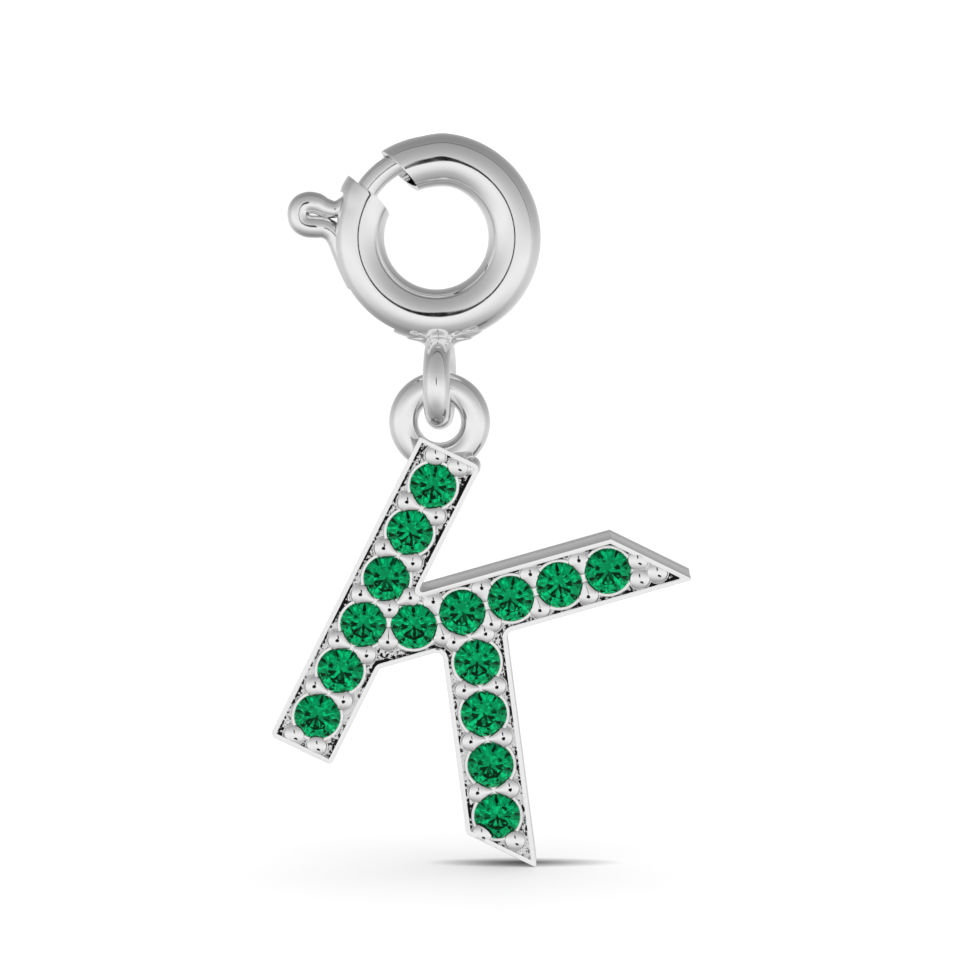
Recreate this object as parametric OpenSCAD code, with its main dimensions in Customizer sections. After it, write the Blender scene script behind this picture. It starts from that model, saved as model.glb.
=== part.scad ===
// Initial pendant: a cast letter K set with fifteen round green stones,
// hung by its bail ring from the eye of a spring ring clasp.
// X is right, Z is up, and the face looks to -Y. The origin is the top of the
// clasp's bore, where a chain bears.

/* [Clasp ring] */
// Outside diameter of the clasp ring
clasp_d = 6; // [5:0.1:9]
// Diameter of the tube that the ring is made of
tube_d = 1.5; // [1.4:0.05:1.8]
// Wall of the tube
tube_wall = 0.15; // [0.1:0.01:0.18]
// Where the gate is cut, counter-clockwise from +X
gate_angle = 133; // [125:1:136]
// Width of the saw cut that makes the gate
gate_w = 1.09; // [0.8:0.01:1.3]
// Turn of the saw cut about its own direction
gate_skew = 10; // [0:1:12]
// Slot in the tube's outer side, across
slot_w = 0.8; // [0.72:0.01:0.9]

/* [Clasp eye] */
// Wire of the soldered eye
eye_wire = 0.78; // [0.6:0.01:0.82]
// Hole through the eye
eye_hole = 1.2; // [1.15:0.01:1.8]
// The eye's place, right of the ring's middle
eye_x = 0.09; // [-0.2:0.01:0.2]
// Turn of the eye about its upright line
eye_twist = -5; // [-8:1:8]
// Solder fillet beside the neck of the eye
solder_fillet = 0.24; // [0.1:0.01:0.35]

/* [Bolt] */
// Wire that the bolt and its thumb loop are bent from
bolt_wire = 0.66; // [0.5:0.01:0.68]
// Room between the bolt and the outer wall of the tube's bore
bolt_clear = 0.11; // [0.05:0.01:0.2]
// How far the bolt's free end goes past the gate, as an angle
bolt_entry = 5; // [2:0.5:10]
// How far the thumb loop pulls the bolt back, as an angle
bolt_travel = 31; // [20:1:33]
// Where the thumb loop stands, counter-clockwise from +X
thumb_angle = 168.9; // [166:0.1:172]
// How far the thumb loop's middle stands off the ring
thumb_reach = 0.675; // [0.55:0.005:1]
// Half the distance between the thumb loop's two strands
thumb_bend = 0.35; // [0.34:0.01:0.45]
// Where the tail of the wire ends in the slot
tail_end_angle = 212.5; // [208:0.5:214]

/* [Letter] */
// Thickness of the cast letter
letter_t = 1.55; // [1.3:0.05:2]
// Width of the stem
stem_w = 1.96; // [1.76:0.01:2.2]
// Width of the arm
arm_w = 1.8; // [1.76:0.01:2.2]
// Width of the leg
leg_w = 1.9; // [1.76:0.01:2.2]
// Slope of the arm
arm_angle = 42.5; // [40:0.5:46]
// Slope of the leg
leg_angle = -56.3; // [-60:0.1:-52]
// From the stem's lowest stone to its bottom end
stem_foot = 1.1; // [1:0.01:1.4]
// From the stem's highest stone to its top end
stem_head = 1.13; // [1:0.01:1.4]
// How much lower than the stem the arm ends
arm_short = 0.23; // [0:0.01:0.5]
// How much lower than the stem the leg ends
leg_drop = 0.09; // [0:0.01:0.4]
// Raised rim round the face
rim_w = 0.13; // [0.1:0.01:0.16]
// Depth of the ground inside the rim
ground_depth = 0.15; // [0.08:0.01:0.2]
// Forward lean of the face as it hangs
letter_pitch = 5.5; // [0:0.5:8]
// Lean of the stem's top to the right as it hangs
letter_lean = 26.4; // [20:0.1:32]

/* [Stones] */
// Diameter of each stone
stone_d = 1.4; // [1.3:0.01:1.45]
// Gap between neighbouring stones of the stem
stem_gap = 0.11; // [0.05:0.01:0.3]
// Gap between neighbouring stones of the arm
arm_gap = 0.055; // [0.05:0.005:0.3]
// Gap between neighbouring stones of the leg
leg_gap = 0.13; // [0.05:0.01:0.3]
// Direction of the arm's first stone, seen from the stem
arm_join_angle = 24.5; // [20:0.5:29]
// Direction of the leg's first stone, seen from the arm
leg_join_angle = -47.4; // [-50:0.1:-44]
// Air between a stone and its seat
seat_clear = 0.02; // [0.015:0.001:0.024]
// Diameter of a bead prong
bead_d = 0.58; // [0.46:0.01:0.6]

/* [Bail ring] */
// Wire of the bail ring
bail_wire = 0.84; // [0.6:0.01:0.86]
// Hole through the bail ring
bail_hole = 1.23; // [1.2:0.01:1.8]
// The ring's middle, left of the stem's stone line
bail_side = 0.61; // [0.3:0.01:0.8]
// The ring's middle, above the stem's top end
bail_rise = 0.51; // [0.45:0.01:0.9]
// The ring's middle plane, behind the face
bail_depth = 0.9; // [0.6:0.01:1.1]
// Slack where the bail ring hangs in the eye
hang_gap = 0.06; // [0.04:0.01:0.12]

/* [Hidden] */
$fn = 64;

// Clasp ring, in its own plane: x right, y up, z to the viewer
ring_r = (clasp_d - tube_d) / 2;
ring_z = -(clasp_d / 2 - tube_d);
bore_r = tube_d / 2 - tube_wall;
slot_reach = 0.1;
gate_half_angle = asin(gate_w / 2 / ring_r);

// Eye
solder_bite = 0.07;
web_bury = 0.12;
web_share = 0.8;
eye_r = (eye_hole + eye_wire) / 2;
eye_sink = tube_wall + solder_bite;
eye_z = ring_z - clasp_d / 2 + eye_sink - eye_r - eye_wire / 2;
pivot = [eye_x, 0, eye_z - eye_r];

// Bolt
bolt_r = ring_r + bore_r - bolt_clear - bolt_wire / 2;
bolt_tip_angle = gate_angle - gate_half_angle - bolt_entry;
bend_share = 0.68;
bend_r = bolt_wire * bend_share;
bolt_lead = 19;
bolt_turn_angle = thumb_angle - bolt_lead;
thumb_tilt = 2.9;
thumb_aim = thumb_angle - thumb_tilt;
thumb_r = clasp_d / 2 + thumb_reach;
thumb_mid = polar(thumb_r, thumb_angle);
arc_slack = 0.001;
tail_lead = 32;
tail_clear = 0.02;
tail_start_angle = thumb_angle + tail_lead;
tail_r = clasp_d / 2 - bolt_wire / 2 - tail_clear;

// The slot starts above the loop's upper strand and ends past the tail's travel
slot_spare = 2;
strand_top = thumb_bend + bolt_wire / 2 - thumb_r * sin(thumb_tilt);
slot_start_angle = thumb_aim - asin(strand_top / (ring_r + bore_r)) - slot_spare;
slot_end_angle = tail_end_angle + bolt_travel + slot_spare;

// Stones, in the letter's own plane: x across, y along the stem, z to the viewer
stem_pitch = stone_d + stem_gap;
arm_pitch = stone_d + arm_gap;
leg_pitch = stone_d + leg_gap;
stem_stones = [for (i = [5:-1:0]) [0, stem_foot + i * stem_pitch]];
arm_first = stem_stones[3] + arm_pitch * heading(arm_join_angle);
arm_stones = [for (i = [0:4]) arm_first + i * arm_pitch * heading(arm_angle)];
leg_first = arm_stones[1] + leg_pitch * heading(leg_join_angle);
leg_stones = [for (i = [0:3]) leg_first + i * leg_pitch * heading(leg_angle)];
stones = concat(stem_stones, arm_stones, leg_stones);

// Proportions of a round brilliant, as shares of its diameter
table_share = 0.56;
crown_share = 0.15;
girdle_share = 0.03;
pavilion_share = 0.43;
star_share = 0.78;
main_share = 0.24;
stone_turn = 17;
stone_r = stone_d / 2;
table_r = stone_r * table_share;
crown_h = stone_d * crown_share;
girdle_h = stone_d * girdle_share;
pavilion_h = stone_d * pavilion_share;
star_r = stone_r * star_share;
main_r = stone_r * main_share;

// Heights in the letter, from its flat back
ground_z = letter_t - ground_depth;
girdle_z = ground_z - girdle_h / 2;

// Letter outline
stem_top = stem_foot + 5 * stem_pitch + stem_head;
arm_top = stem_top - arm_short;
foot_round = 0.15;
tip_round = 0.05;
head_round = 0.2;
crotch_round = 0.2;
notch_round = 0.1;
least_round = 0.02;

// Beads: how far they stand off a row, as shares of a stone's radius
bead_r = bead_d / 2;
bead_lift = 0.05;
stem_bead = stone_r * 0.64;
arm_bead = stone_r * 0.74;
join_bead = stone_r * 0.43;
// Past the last stone of a row: shares along the row and to its left
stem_top_beads = [[1.17, -0.56], [1.18, 0.48]];
stem_foot_beads = [[1.15, -0.52], [1.15, 0.52]];
arm_end_beads = [[1.31, 0.09], [1.17, -0.68], [1.94, -0.62]];
leg_end_beads = [[0.62, -0.86], [1.13, 0.6]];

// Bail ring
bail_r = (bail_hole + bail_wire) / 2;
bail_mid = [-bail_side, stem_top + bail_rise];
bail_drop = (bail_hole - eye_wire) / 2 - hang_gap;

function heading(a) = [cos(a), sin(a)];
function polar(r, a) = r * heading(a);
function left_of(d) = [-d[1], d[0]];
function unit(v) = v / norm(v);

// Where the line through p along d crosses the line through q along e
function meet(p, d, q, e) = p + d * cross(q - p, e) / cross(d, e);

// Corners of the letter with every edge moved in by an inset
function letter_corners(inset) =
  let (
    arm_d = heading(arm_angle),
    leg_d = heading(leg_angle),
    left = -stem_w / 2 + inset,
    right = stem_w / 2 - inset,
    arm_hi = arm_first + left_of(arm_d) * (arm_w / 2 - inset),
    arm_lo = arm_first - left_of(arm_d) * (arm_w / 2 - inset),
    leg_hi = leg_first + left_of(leg_d) * (leg_w / 2 - inset),
    leg_lo = leg_first - left_of(leg_d) * (leg_w / 2 - inset),
    arm_cap = [0, arm_top - inset],
    leg_cap = [0, inset - leg_drop]
  )
  [
    [left, inset],
    [left, stem_top - inset],
    [right, stem_top - inset],
    meet([right, 0], [0, 1], arm_hi, arm_d),
    meet(arm_hi, arm_d, arm_cap, [1, 0]),
    meet(arm_lo, arm_d, arm_cap, [1, 0]),
    meet(arm_lo, arm_d, leg_hi, leg_d),
    meet(leg_hi, leg_d, leg_cap, [1, 0]),
    meet(leg_lo, leg_d, leg_cap, [1, 0]),
    meet(leg_lo, leg_d, arm_lo, arm_d),
    meet([right, 0], [0, 1], arm_lo, arm_d),
    [right, inset]
  ];

// Rounding of each corner: inner corners grow with the inset, outer ones shrink
function corner_rounds(inset) = [
  for (r = [
    foot_round, tip_round, head_round, -notch_round, tip_round, tip_round,
    -crotch_round, tip_round, foot_round, -crotch_round, -notch_round, foot_round
  ])
  r < 0 ? inset - r : max(least_round, r - inset)
];

// The arc that rounds the corner p on the way from one point to the next
function corner_arc(p, before, after, radius, steps) =
  let (
    a = unit(before - p),
    b = unit(after - p),
    half = acos(a * b) / 2,
    mid = p + unit(a + b) * radius / sin(half),
    start = p + a * radius / tan(half) - mid,
    sweep = (cross(a, b) > 0 ? -1 : 1) * (180 - 2 * half)
  )
  [for (k = [0:steps]) mid + polar(radius, atan2(start[1], start[0]) + sweep * k / steps)];

// An outline with each corner turned into an arc of the given radius
function rounded(pts, rounds, steps = 6) =
  let (n = len(pts))
  [
    for (i = [0:n - 1])
    for (q = corner_arc(pts[i], pts[(i + n - 1) % n], pts[(i + 1) % n], rounds[i], steps))
    q
  ];

module letter_outline(inset) {
  polygon(rounded(letter_corners(inset), corner_rounds(inset)));
}

// Moves from the ring's own plane to where it stands
module in_ring_plane() {
  translate([0, 0, ring_z]) rotate([90, 0, 0]) children();
}

// Moves from the letter's own plane to how it hangs
module in_letter_plane() {
  translate(pivot)
  rotate([letter_pitch, 0, 0])
  translate([0, letter_t - bail_depth, -bail_drop])
  rotate([0, letter_lean, 0])
  translate([-bail_mid[0], 0, -bail_mid[1]])
  rotate([90, 0, 0])
  children();
}

module torus(mid_r, wire_r) {
  rotate_extrude() translate([mid_r, 0]) circle(wire_r);
}

// Points along an arc about the origin
function arc_points(r, from, to, steps) =
  [for (k = [0:steps]) polar(r, from + (to - from) * k / steps)];

// The direction of an open path at one of its points
function heading_at(path, i) =
  let (last = len(path) - 1)
  unit(path[min(i + 1, last)] - path[max(i - 1, 0)]);

// Round wire along an open path in the plane, swept as one closed skin
module swept_wire(path, wire_r, sides = 16) {
  last = len(path) - 1;
  points = [
    for (i = [0:last])
    let (across = left_of(heading_at(path, i)))
    for (k = [0:sides - 1])
    let (t = 360 * k / sides, q = path[i] + across * wire_r * cos(t))
    [q[0], q[1], wire_r * sin(t)]
  ];
  walls = [
    for (i = [0:last - 1])
    for (k = [0:sides - 1])
    let (a = i * sides + k, b = i * sides + (k + 1) % sides)
    for (f = [[a, a + sides, b], [b, a + sides, b + sides]]) f
  ];
  near_cap = [for (k = [0:sides - 1]) k];
  far_cap = [for (k = [sides - 1:-1:0]) last * sides + k];
  polyhedron(points, concat(walls, [near_cap, far_cap]));
}

// Tube bent into a ring, sawn open at the gate and slotted for the bolt, with
// the eye soldered below
module clasp_ring() {
  color("silver")
  difference() {
    union() {
      in_ring_plane() torus(ring_r, tube_d / 2);
      clasp_eye();
      solder_web();
    }
    in_ring_plane() {
      torus(ring_r, bore_r);
      rotate([gate_skew, 0, gate_angle])
      translate([ring_r - tube_d, -gate_w / 2, -tube_d])
      cube([2 * tube_d, gate_w, 2 * tube_d]);
      rotate([0, 0, slot_start_angle])
      rotate_extrude(angle = slot_end_angle - slot_start_angle)
      translate([ring_r, -slot_w / 2])
      square([tube_d / 2 + slot_reach, slot_w]);
    }
  }
}

module clasp_eye() {
  translate([eye_x, 0, eye_z])
  rotate([0, 0, eye_twist])
  rotate([0, 90, 0])
  torus(eye_r, eye_wire / 2);
}

// Solder drawn up on both sides of the eye's neck
module solder_web() {
  flare = eye_wire / 2 + solder_fillet;
  web_t = eye_wire * web_share;
  translate([eye_x, web_t / 2, ring_z - clasp_d / 2])
  rotate([90, 0, 0])
  linear_extrude(web_t)
  difference() {
    translate([-flare, -solder_fillet]) square([2 * flare, solder_fillet + web_bury]);
    for (side = [-1, 1])
      translate([side * flare, -solder_fillet]) circle(solder_fillet);
  }
}

// One wire: the bolt that shuts the gate, the thumb loop and the tail in the slot
module clasp_bolt() {
  out = heading(thumb_aim);
  up = -left_of(out);
  turn = polar(bolt_r, bolt_turn_angle);
  tail = polar(tail_r, tail_start_angle);
  upper = thumb_mid + thumb_bend * up;
  lower = thumb_mid - thumb_bend * up;
  outer = thumb_mid + thumb_bend * out;
  corners = [
    meet(turn, left_of(heading(bolt_turn_angle)), upper, out),
    upper + thumb_bend * out,
    lower + thumb_bend * out,
    meet(lower, out, tail, left_of(heading(tail_start_angle)))
  ];
  path = concat(
    arc_points(bolt_r, bolt_tip_angle, bolt_turn_angle, 8),
    corner_arc(corners[0], turn, corners[1], bend_r, 7),
    corner_arc(corners[1], corners[0], outer, thumb_bend - arc_slack, 7),
    corner_arc(corners[2], outer, corners[3], thumb_bend - arc_slack, 7),
    corner_arc(corners[3], corners[2], tail, bend_r, 6),
    arc_points(tail_r, tail_start_angle, tail_end_angle, 4)
  );
  color("gainsboro")
  in_ring_plane() swept_wire(path, bolt_wire / 2);
}

// Room for a stone: its outline with the seat's clearance all round
module stone_room() {
  grow = seat_clear;
  rotate_extrude()
  polygon([
    [0, girdle_z - girdle_h / 2 - pavilion_h - 2 * grow],
    [stone_r + grow, girdle_z - girdle_h / 2 - grow],
    [stone_r + grow, girdle_z + girdle_h / 2 + grow],
    [table_r + grow, girdle_z + girdle_h / 2 + crown_h + grow],
    [table_r + grow, letter_t + bead_d],
    [0, letter_t + bead_d]
  ]);
}

module bead_at(p) {
  translate([p[0], p[1], ground_z + bead_lift]) sphere(bead_r);
}

// A bead beside the meeting of two stones, to the left of the way from a to b
module bead_beside(a, b, off) {
  bead_at((a + b) / 2 + left_of(unit(b - a)) * off);
}

// A pair of beads at each meeting of a row's neighbours
module bead_row(row, off) {
  for (i = [0:len(row) - 2])
    for (side = [-off, off])
      bead_beside(row[i], row[i + 1], side);
}

// Beads past the last stone of a row that runs along d
module bead_end(stone, d, places) {
  for (q = places)
    bead_at(stone + stone_r * (d * q[0] + left_of(d) * q[1]));
}

module beads() {
  bead_row(stem_stones, stem_bead);
  bead_row(arm_stones, arm_bead);
  bead_row(leg_stones, stem_bead);
  bead_end(stem_stones[0], [0, 1], stem_top_beads);
  bead_end(stem_stones[5], [0, -1], stem_foot_beads);
  bead_end(arm_stones[4], heading(arm_angle), arm_end_beads);
  bead_end(leg_stones[3], heading(leg_angle), leg_end_beads);
  // Where the arm leaves the stem, and the leg the arm
  bead_beside(stem_stones[3], arm_stones[0], -stem_bead);
  bead_beside(stem_stones[2], arm_stones[0], join_bead);
  for (side = [-stem_bead, stem_bead])
    bead_beside(arm_stones[1], leg_stones[0], side);
}

// The casting: letter, raised rim, sunken ground, beads and bail ring in one
module letter_frame() {
  color("gainsboro")
  in_letter_plane()
  difference() {
    union() {
      difference() {
        linear_extrude(letter_t) letter_outline(0);
        translate([0, 0, ground_z]) linear_extrude(letter_t) letter_outline(rim_w);
      }
      beads();
      translate([bail_mid[0], bail_mid[1], letter_t - bail_depth])
      torus(bail_r, bail_wire / 2);
    }
    for (p = stones) translate([p[0], p[1], 0]) stone_room();
  }
}

function ring_points(r, z, count, turn) =
  [for (i = [0:count - 1]) [r * cos(360 * i / count + turn), r * sin(360 * i / count + turn), z]];

// A round brilliant with its girdle's middle at the origin and its table up:
// 8 table corners, 8 star corners, two girdle rings of 16, 8 pavilion corners, culet
module brilliant() {
  top = girdle_h / 2;
  table_z = top + crown_h;
  culet_z = -top - pavilion_h;
  star_z = top + crown_h * (stone_r - star_r * cos(22.5)) / (stone_r - table_r);
  main_z = -top - pavilion_h * (stone_r - main_r * cos(22.5)) / stone_r;
  points = concat(
    ring_points(table_r, table_z, 8, 0),
    ring_points(star_r, star_z, 8, 22.5),
    ring_points(stone_r, top, 16, 0),
    ring_points(stone_r, -top, 16, 0),
    ring_points(main_r, main_z, 8, 22.5),
    [[0, 0, culet_z]]
  );
  star = 8;
  upper = 16;
  lower = 32;
  main = 48;
  culet = 56;
  eighths = [for (i = [0:7]) [i, (i + 1) % 8, (i + 7) % 8]];
  faces = concat(
    [[7, 6, 5, 4, 3, 2, 1, 0]],
    [for (e = eighths) [e[0], e[1], star + e[0]]],
    [for (e = eighths) [e[0], star + e[0], upper + 2 * e[0]]],
    [for (e = eighths) [e[0], upper + 2 * e[0], star + e[2]]],
    [for (e = eighths) [star + e[0], upper + 2 * e[0] + 1, upper + 2 * e[0]]],
    [for (e = eighths) [star + e[0], upper + 2 * e[1], upper + 2 * e[0] + 1]],
    [for (i = [0:15]) [upper + i, upper + (i + 1) % 16, lower + (i + 1) % 16, lower + i]],
    [for (e = eighths) [main + e[0], lower + 2 * e[0], lower + 2 * e[0] + 1]],
    [for (e = eighths) [main + e[0], lower + 2 * e[0] + 1, lower + 2 * e[1]]],
    [for (e = eighths) [culet, lower + 2 * e[0], main + e[0]]],
    [for (e = eighths) [culet, main + e[2], lower + 2 * e[0]]]
  );
  polyhedron(points, faces);
}

module stone(number) {
  p = stones[number - 1];
  color("seagreen")
  in_letter_plane()
  translate([p[0], p[1], girdle_z])
  rotate([0, 0, stone_turn * number])
  brilliant();
}

function stone_name(number) = str("stone_", number < 10 ? "0" : "", number);

clasp_ring();
clasp_bolt();
letter_frame();
for (number = [1:15])
  stone(number);
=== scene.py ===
import math

import bmesh
import bpy
from mathutils import Matrix, Vector


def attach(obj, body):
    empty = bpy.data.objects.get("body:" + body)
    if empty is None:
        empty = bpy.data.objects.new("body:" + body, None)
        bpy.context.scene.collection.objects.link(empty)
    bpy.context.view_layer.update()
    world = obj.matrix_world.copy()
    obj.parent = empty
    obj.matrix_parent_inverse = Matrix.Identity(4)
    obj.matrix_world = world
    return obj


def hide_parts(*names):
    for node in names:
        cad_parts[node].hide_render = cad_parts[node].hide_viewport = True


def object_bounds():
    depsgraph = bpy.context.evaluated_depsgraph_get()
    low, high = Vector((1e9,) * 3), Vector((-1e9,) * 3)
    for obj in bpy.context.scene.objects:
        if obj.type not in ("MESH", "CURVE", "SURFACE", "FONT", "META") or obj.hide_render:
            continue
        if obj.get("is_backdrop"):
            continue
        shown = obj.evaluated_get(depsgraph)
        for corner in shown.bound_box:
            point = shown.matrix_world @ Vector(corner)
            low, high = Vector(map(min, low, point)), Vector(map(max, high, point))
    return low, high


bl_info = {
    "name": "Initial Pendant",
    "version": (1, 0, 0),
    "blender": (4, 5, 0),
    "location": "3D View > Sidebar > Pendant",
    "description": "Models the clasp, the bolt wire, the set letter and the stage of an initial pendant",
    "category": "Object",
}

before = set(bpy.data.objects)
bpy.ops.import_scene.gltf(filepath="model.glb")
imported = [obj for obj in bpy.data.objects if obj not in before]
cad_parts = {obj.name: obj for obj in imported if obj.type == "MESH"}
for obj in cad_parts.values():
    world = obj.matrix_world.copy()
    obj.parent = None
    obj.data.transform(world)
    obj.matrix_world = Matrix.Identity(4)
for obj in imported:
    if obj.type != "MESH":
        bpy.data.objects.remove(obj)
MM = 0.001


# Small tools


def linear(colour):
    """An sRGB hex value as linear red, green, blue and alpha."""
    shares = [int(colour[i : i + 2], 16) / 255 for i in (1, 3, 5)]
    return tuple(c / 12.92 if c <= 0.04045 else ((c + 0.055) / 1.055) ** 2.4 for c in shares) + (1.0,)


def add_node(tree, kind, values=None, links=None, **settings):
    """Adds a node with its settings, its unlinked values and its incoming links."""
    node = tree.nodes.new(kind)
    for name, value in settings.items():
        setattr(node, name, value)
    for socket, value in (values or {}).items():
        node.inputs[socket].default_value = value
    for socket, source in (links or {}).items():
        tree.links.new(source, node.inputs[socket])
    return node


def maths(tree, operation, *values):
    """The result of a math node that is fed by sockets or numbers."""
    node = add_node(tree, "ShaderNodeMath", operation=operation)
    for socket, value in zip(node.inputs, values):
        if isinstance(value, float):
            socket.default_value = value
        else:
            tree.links.new(value, socket)
    return node.outputs["Value"]


def ranged(tree, value, low, high, out_low, out_high, kind="LINEAR"):
    """A value taken from one range to another, and held at its ends."""
    ends = {"From Min": low, "From Max": high, "To Min": out_low, "To Max": out_high}
    node = add_node(tree, "ShaderNodeMapRange", ends, {"Value": value}, interpolation_type=kind)
    return node.outputs["Result"]


def blended(tree, share, first, second):
    """A colour between two sRGB hex values."""
    ends = {6: linear(first), 7: linear(second)}
    return add_node(tree, "ShaderNodeMix", ends, {0: share}, data_type="RGBA").outputs[2]


def noise(tree, place, size, detail, roughness=0.5):
    """Noise whose lumps have about this size in millimetres."""
    values = {"Scale": 1 / (size * MM), "Detail": detail, "Roughness": roughness}
    return add_node(tree, "ShaderNodeTexNoise", values, {"Vector": place}).outputs["Fac"]


def raised(tree, shader, height, strength, distance):
    """Bumps a shader's surface by a height, over a distance in millimetres."""
    bump = add_node(
        tree, "ShaderNodeBump", {"Strength": strength, "Distance": distance * MM}, {"Height": height}
    )
    tree.links.new(bump.outputs["Normal"], shader.inputs["Normal"])


def choose(*items):
    """Leaves only these objects selected, the first one active."""
    if bpy.context.object and bpy.context.object.mode != "OBJECT":
        bpy.ops.object.mode_set(mode="OBJECT")
    bpy.ops.object.select_all(action="DESELECT")
    for item in items:
        item.select_set(True)
    if items:
        bpy.context.view_layer.objects.active = items[0]


def edit():
    """Enters edit mode on the active object."""
    bpy.ops.object.mode_set(mode="EDIT")


def done():
    """Leaves edit mode."""
    bpy.ops.object.mode_set(mode="OBJECT")


def remove(*items):
    """Deletes objects."""
    choose(*items)
    bpy.ops.object.delete()


def apply_place():
    """Applies the selected objects' transforms to their meshes."""
    bpy.ops.object.transform_apply(location=True, rotation=True, scale=True)


def select_all():
    """Selects the whole mesh in edit mode."""
    bpy.ops.mesh.select_all(action="SELECT")


def named(name):
    """Names the object that an operator has just added."""
    piece = bpy.context.object
    piece.name = piece.data.name = name
    return piece


def pick(kind, test):
    """In edit mode, selects the vertices, edges or faces that pass a test."""
    bpy.ops.mesh.select_mode(type=kind)
    bpy.ops.mesh.select_all(action="DESELECT")
    data = bpy.context.object.data
    mesh = bmesh.from_edit_mesh(data)
    for item in {"VERT": mesh.verts, "EDGE": mesh.edges, "FACE": mesh.faces}[kind]:
        if test(item):
            item.select_set(True)
    mesh.select_flush_mode()
    bmesh.update_edit_mesh(data)


def turned(angle, centre):
    """Turns what is selected in edit mode by an angle in degrees, counter-clockwise about z."""
    bpy.ops.transform.rotate(
        value=-math.radians(angle), orient_axis="Z", orient_type="GLOBAL", center_override=centre
    )


def apply_modifier(piece, kind, **settings):
    """Adds a modifier to a piece and applies it."""
    choose(piece)
    bpy.ops.object.modifier_add(type=kind)
    modifier = piece.modifiers[-1]
    for name, value in settings.items():
        setattr(modifier, name, value)
    bpy.ops.object.modifier_apply(modifier=modifier.name)


def join(pieces, name):
    """Joins objects into one mesh."""
    choose(*pieces)
    bpy.ops.object.join()
    return named(name)


def copies(piece, places):
    """Copies a piece to each matrix, every copy with its own mesh, and deletes the first one."""
    made = []
    for place in places:
        choose(piece)
        bpy.ops.object.duplicate(linked=False)
        copy = bpy.context.object
        copy.matrix_world = place
        made.append(copy)
    remove(piece)
    return made


def settle(piece, place, body, node, finish, angle=30):
    """Moves a piece modelled in millimetres to its place in metres, with smooth shading,
    its material, the body it rides on and the solid that it stands for."""
    choose(piece)
    piece.matrix_world = place @ piece.matrix_world
    apply_place()
    bpy.ops.object.shade_smooth_by_angle(angle=math.radians(angle))
    for item in finish if isinstance(finish, list) else [finish]:
        piece.data.materials.append(item)
    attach(piece, body)
    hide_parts(node)


def heading(angle):
    """The unit vector at an angle in degrees."""
    return Vector((math.cos(math.radians(angle)), math.sin(math.radians(angle))))


def polar(radius, angle):
    """A point in the ring's plane, its angle counter-clockwise from the right."""
    return Vector((radius * math.cos(math.radians(angle)), radius * math.sin(math.radians(angle)), 0))


def left_of(way):
    """A direction turned a quarter turn counter-clockwise."""
    return Vector((-way[1], way[0]))


def meet(p, d, q, e):
    """Where the line through p along d crosses the line through q along e."""
    across = d[0] * e[1] - d[1] * e[0]
    gap = q - p
    return p + d * ((gap[0] * e[1] - gap[1] * e[0]) / across)


# Sizes and colours


def millimetres(name, text, default):
    """A size in millimetres that the user can change."""
    return bpy.props.FloatProperty(
        name=name, description=f"{text}, in millimetres", default=default, min=0.0, precision=3, step=1
    )


def degrees(name, text, default):
    """An angle in degrees that the user can change."""
    return bpy.props.FloatProperty(name=name, description=f"{text}, in degrees", default=default, precision=2)


def hex_colour(name, text, default):
    """A colour that the user can change."""
    return bpy.props.StringProperty(name=name, description=f"{text}, as an sRGB hex value", default=default)


class ClaspSizes(bpy.types.PropertyGroup):
    """Sizes of the spring ring clasp, in millimetres."""

    tube: millimetres("Tube", "Diameter of the tube that the ring is bent from", 1.5)
    outside: millimetres("Outside", "Outside diameter of the ring", 6.0)
    wall: millimetres("Wall", "Wall of the tube", 0.15)
    gate: degrees("Gate", "Where the gate is cut, counter-clockwise from the right", 133.0)
    gate_width: millimetres("Gate width", "Width of the saw cut", 1.09)
    gate_skew: degrees("Gate skew", "Turn of the saw cut about its own direction", 10.0)
    slot_start: degrees("Slot start", "Where the slot in the tube starts", 154.02)
    slot_end: degrees("Slot end", "Where the slot in the tube ends", 245.5)
    eye_wire: millimetres("Eye wire", "Wire of the soldered eye", 0.78)
    eye_hole: millimetres("Eye hole", "Hole through the eye", 1.2)
    eye_side: millimetres("Eye side", "The eye's place right of the ring's middle", 0.09)
    eye_twist: degrees("Eye twist", "Turn of the eye about its upright line", -5.0)
    bolt_wire: millimetres("Bolt wire", "Wire that the bolt is bent from", 0.66)
    neck_wire: millimetres("Neck wire", "Width of the bolt wire where the thumb loop is pinched", 0.5)


class LetterSizes(bpy.types.PropertyGroup):
    """Sizes of the cast letter, in millimetres."""

    thickness: millimetres("Thickness", "Thickness of the casting", 1.55)
    stem_stroke: millimetres("Stem stroke", "Width of the stem", 1.96)
    arm_stroke: millimetres("Arm stroke", "Width of the arm", 1.8)
    leg_stroke: millimetres("Leg stroke", "Width of the leg", 1.9)
    arm_angle: degrees("Arm slope", "Slope of the arm", 42.5)
    leg_angle: degrees("Leg slope", "Slope of the leg", -56.3)
    foot: millimetres("Foot", "From the stem's lowest stone to its end", 1.1)
    head: millimetres("Head", "From the stem's highest stone to its end", 1.13)
    arm_short: millimetres("Arm short", "How much lower than the stem the arm ends", 0.23)
    leg_drop: millimetres("Leg drop", "How much lower than the stem the leg ends", 0.09)
    rim: millimetres("Rim", "Width of the raised rim", 0.13)
    ground: millimetres("Ground depth", "Depth of the ground inside the rim", 0.15)
    pitch: degrees("Pitch", "Forward lean of the face", 5.5)
    lean: degrees("Lean", "Lean of the stem's top to the right", 26.4)
    bail_wire: millimetres("Bail wire", "Wire of the bail ring", 0.84)
    bail_hole: millimetres("Bail hole", "Hole through the bail ring", 1.23)
    bail_side: millimetres("Bail side", "The bail ring's middle, left of the stem's stones", 0.61)
    bail_rise: millimetres("Bail rise", "The bail ring's middle, above the stem's end", 0.51)
    bail_depth: millimetres("Bail depth", "The bail ring's middle plane, behind the face", 0.9)
    slack: millimetres("Slack", "Slack where the bail ring hangs in the eye", 0.06)


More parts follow.
